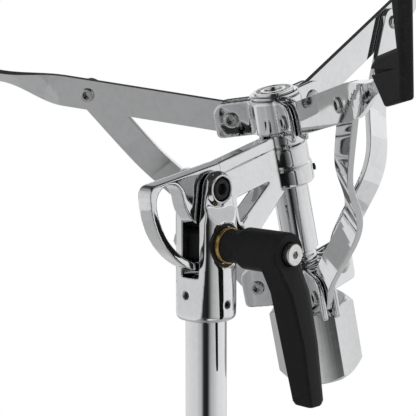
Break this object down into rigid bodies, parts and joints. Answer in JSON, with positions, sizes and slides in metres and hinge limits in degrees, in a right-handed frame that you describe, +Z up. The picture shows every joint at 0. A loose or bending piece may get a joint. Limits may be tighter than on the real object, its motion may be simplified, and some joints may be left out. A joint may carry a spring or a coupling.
{
  "type": "snare drum stand",
  "caption": "Chrome snare drum stand with folding legs, height tube, tilting arm with clamp lever, and a nut-driven basket of arms with rubber boots.",
  "frame": {"origin": "the tube's axis at floor level, under the feet's flat faces", "axes": "+Z up the tube, +X from the tube towards the basket post, pivot bolt along Y"},
  "size_m": [0.4393, 0.4244, 0.6225],
  "materials": {
    "chrome": "polished chrome plate",
    "bright_steel": "zinc-plated steel",
    "black_steel": "black oxide",
    "black_plastic": "matte moulded",
    "rubber": "matte moulded rubber",
    "brass": "turned brass",
    "nylon": "white nylon"
  },
  "bodies": {
    "base": {"base_tube": "chrome", "tube_plug": "rubber", "base_clamp": "chrome", "clamp_bush": "nylon", "lower_bracket": "chrome", "bracket_rivets": "chrome"},
    "clamp_bolt": {"clamp_bolt": "chrome"},
    "leg_collar": {"leg_collar": "chrome", "collar_rivets": "chrome"},
    "collar_bolt": {"collar_bolt": "chrome"},
    "memory_lock": {"memory_lock": "chrome", "memory_screw": "bright_steel"},
    "upper_tube": {"upper_tube": "chrome", "tilter_sleeve": "chrome", "sleeve_screws": "black_steel", "pivot_bolt": "black_steel", "pivot_nut": "bright_steel", "lever_nut": "bright_steel", "clamp_block": "black_plastic"},
    "lever": {"lever_stud": "bright_steel", "lever_bush": "brass", "lever_screw": "bright_steel", "lever_spring": "bright_steel"},
    "lever_handle": {"lever_handle": "black_plastic"},
    "tilter": {"tilter_arm": "chrome", "basket_post": "chrome", "post_screw": "black_steel", "upper_hub": "chrome", "hub_cap": "chrome", "upper_rivets": "chrome"},
    "lower_hub": {"lower_hub": "chrome", "lower_rivets": "chrome"},
    "basket_nut": {"basket_nut": "chrome"},
    "arm_far": {"arm_far": "chrome", "boot_far": "rubber", "arm_rivet_far": "chrome"},
    "brace_far": {"brace_far": "chrome", "brace_rivet_far": "chrome"},
    "arm_left": {"arm_left": "chrome", "boot_left": "rubber", "arm_rivet_left": "chrome"},
    "brace_left": {"brace_left": "chrome", "brace_rivet_left": "chrome"},
    "arm_front": {"arm_front": "chrome", "boot_front": "rubber", "arm_rivet_front": "chrome"},
    "brace_front": {"brace_front": "chrome", "brace_rivet_front": "chrome"},
    "leg_right": {"leg_right": "chrome", "leg_rivet_right": "chrome", "foot_right": "rubber"},
    "strut_right": {"strut_right": "chrome"},
    "leg_rear": {"leg_rear": "chrome", "leg_rivet_rear": "chrome", "foot_rear": "rubber"},
    "strut_rear": {"strut_rear": "chrome"},
    "leg_side": {"leg_side": "chrome", "leg_rivet_side": "chrome", "foot_side": "rubber"},
    "strut_side": {"strut_side": "chrome"}
  },
  "joints": [
    {"name": "height_slide", "type": "slide", "parent": "base", "child": "memory_lock", "axis": [0, 0, 1], "range_m": [0, 0.11]},
    {"name": "swivel", "type": "hinge", "parent": "memory_lock", "child": "upper_tube", "pos_m": [0, 0, 0.31], "axis": [0, 0, 1], "continuous": true},
    {"name": "tilt", "type": "hinge", "parent": "upper_tube", "child": "tilter", "pos_m": [0, 0, 0.47], "axis": [0, -1, 0], "range_deg": [-15, 75]},
    {"name": "lever_turn", "type": "hinge", "parent": "upper_tube", "child": "lever", "pos_m": [0, -0.012, 0.4451], "axis": [0, -1, 0], "range_deg": [-120, 20]},
    {"name": "lever_lift", "type": "slide", "parent": "lever", "child": "lever_handle", "axis": [0, -1, 0], "range_m": [0, 0.004], "stiffness_N_per_m": 900, "springref_m": -0.004, "deforming": ["lever_spring"]},
    {"name": "lower_slide", "type": "slide", "parent": "tilter", "child": "lower_hub", "axis": [-0.2588, 0, 0.9659], "range_m": [0, 0.03206]},
    {"name": "nut_spin", "type": "hinge", "parent": "lower_hub", "child": "basket_nut", "pos_m": [0.0701, 0, 0.41858], "axis": [-0.2588, 0, 0.9659], "range_deg": [0, 4616.91]},
    {"name": "leg_slide", "type": "slide", "parent": "base", "child": "leg_collar", "axis": [0, 0, 1], "range_m": [0, 0.09249]},
    {"name": "collar_bolt_turn", "type": "hinge", "parent": "leg_collar", "child": "collar_bolt", "pos_m": [0.02, 0, 0.15], "axis": [1, 0, 0], "continuous": true},
    {"name": "clamp_bolt_turn", "type": "hinge", "parent": "base", "child": "clamp_bolt", "pos_m": [0, 0.0305, 0.286], "axis": [-1, 0, 0], "continuous": true},
    {"name": "arm_far_fold", "type": "hinge", "parent": "tilter", "child": "arm_far", "pos_m": [0.06864, 0, 0.50786], "axis": [0, -1, 0], "range_deg": [0, 61.8]},
    {"name": "brace_far_fold", "type": "hinge", "parent": "lower_hub", "child": "brace_far", "pos_m": [0.09338, 0, 0.42482], "axis": [0, -1, 0], "range_deg": [0, 26.54]},
    {"name": "arm_left_fold", "type": "hinge", "parent": "tilter", "child": "arm_left", "pos_m": [0.0372, 0.01879, 0.49943], "axis": [0.8365, 0.5, 0.2241], "range_deg": [0, 61.8]},
    {"name": "brace_left_fold", "type": "hinge", "parent": "lower_hub", "child": "brace_left", "pos_m": [0.05846, 0.02087, 0.41546], "axis": [0.8365, 0.5, 0.2241], "range_deg": [0, 26.54]},
    {"name": "arm_front_fold", "type": "hinge", "parent": "tilter", "child": "arm_front", "pos_m": [0.0372, -0.01879, 0.49943], "axis": [-0.8365, 0.5, -0.2241], "range_deg": [0, 61.8]},
    {"name": "brace_front_fold", "type": "hinge", "parent": "lower_hub", "child": "brace_front", "pos_m": [0.05846, -0.02087, 0.41546], "axis": [-0.8365, 0.5, -0.2241], "range_deg": [0, 26.54]},
    {"name": "leg_right_fold", "type": "hinge", "parent": "leg_collar", "child": "leg_right", "pos_m": [0.012, 0.02078, 0.15], "axis": [-0.866, 0.5, 0], "range_deg": [0, 47.8]},
    {"name": "strut_right_fold", "type": "hinge", "parent": "base", "child": "strut_right", "pos_m": [0.012, 0.02078, 0.02859], "axis": [0.866, -0.5, 0], "range_deg": [0, 47.8]},
    {"name": "leg_rear_fold", "type": "hinge", "parent": "leg_collar", "child": "leg_rear", "pos_m": [-0.024, 0, 0.15], "axis": [0, -1, 0], "range_deg": [0, 47.8]},
    {"name": "strut_rear_fold", "type": "hinge", "parent": "base", "child": "strut_rear", "pos_m": [-0.024, 0, 0.02859], "axis": [0, 1, 0], "range_deg": [0, 47.8]},
    {"name": "leg_side_fold", "type": "hinge", "parent": "leg_collar", "child": "leg_side", "pos_m": [0.012, -0.02078, 0.15], "axis": [0.866, 0.5, 0], "range_deg": [0, 47.8]},
    {"name": "strut_side_fold", "type": "hinge", "parent": "base", "child": "strut_side", "pos_m": [0.012, -0.02078, 0.02859], "axis": [-0.866, -0.5, 0], "range_deg": [0, 47.8]}
  ],
  "couplings": [
    {"joint": "lower_slide", "follows": "nut_spin", "m_per_rad": 0.00039789},
    {"joint": "arm_far_fold", "follows": "nut_spin", "ratio": 0.013386},
    {"joint": "brace_far_fold", "follows": "nut_spin", "ratio": 0.0057474},
    {"joint": "arm_left_fold", "follows": "nut_spin", "ratio": 0.013386},
    {"joint": "brace_left_fold", "follows": "nut_spin", "ratio": 0.0057474},
    {"joint": "arm_front_fold", "follows": "nut_spin", "ratio": 0.013386},
    {"joint": "brace_front_fold", "follows": "nut_spin", "ratio": 0.0057474},
    {"joint": "leg_right_fold", "follows": "leg_slide", "rad_per_m": 9.0203},
    {"joint": "strut_right_fold", "follows": "leg_slide", "rad_per_m": 9.0203},
    {"joint": "leg_rear_fold", "follows": "leg_slide", "rad_per_m": 9.0203},
    {"joint": "strut_rear_fold", "follows": "leg_slide", "rad_per_m": 9.0203},
    {"joint": "leg_side_fold", "follows": "leg_slide", "rad_per_m": 9.0203},
    {"joint": "strut_side_fold", "follows": "leg_slide", "rad_per_m": 9.0203}
  ]
}
